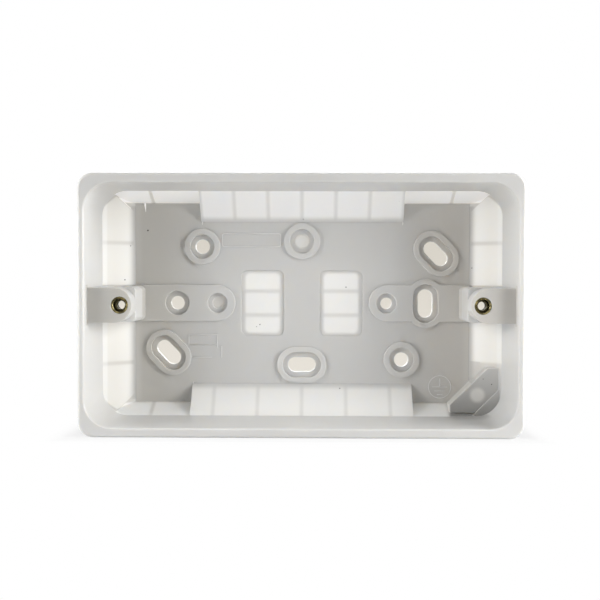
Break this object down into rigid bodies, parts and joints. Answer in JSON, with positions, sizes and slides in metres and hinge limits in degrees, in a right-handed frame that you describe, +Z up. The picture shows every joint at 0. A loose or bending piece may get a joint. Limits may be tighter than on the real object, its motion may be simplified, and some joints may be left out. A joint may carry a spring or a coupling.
{
  "type": "surface back box",
  "caption": "White moulded double surface back box with break-out edges, screw bosses with brass inserts, fixing pads and knock-out windows.",
  "frame": {"origin": "centre of the flat back face that lies against the wall", "axes": "+X to the right along the long side, +Z up, +Y into the wall, so the open front faces -Y"},
  "size_m": [0.147, 0.035, 0.087],
  "materials": {
    "moulding": "satin white moulded thermoplastic, slightly translucent where thin",
    "insert_brass": "dull turned brass"
  },
  "bodies": {
    "root": {"back_box": "moulding", "left_insert": "insert_brass", "right_insert": "insert_brass"}
  },
  "joints": []
}
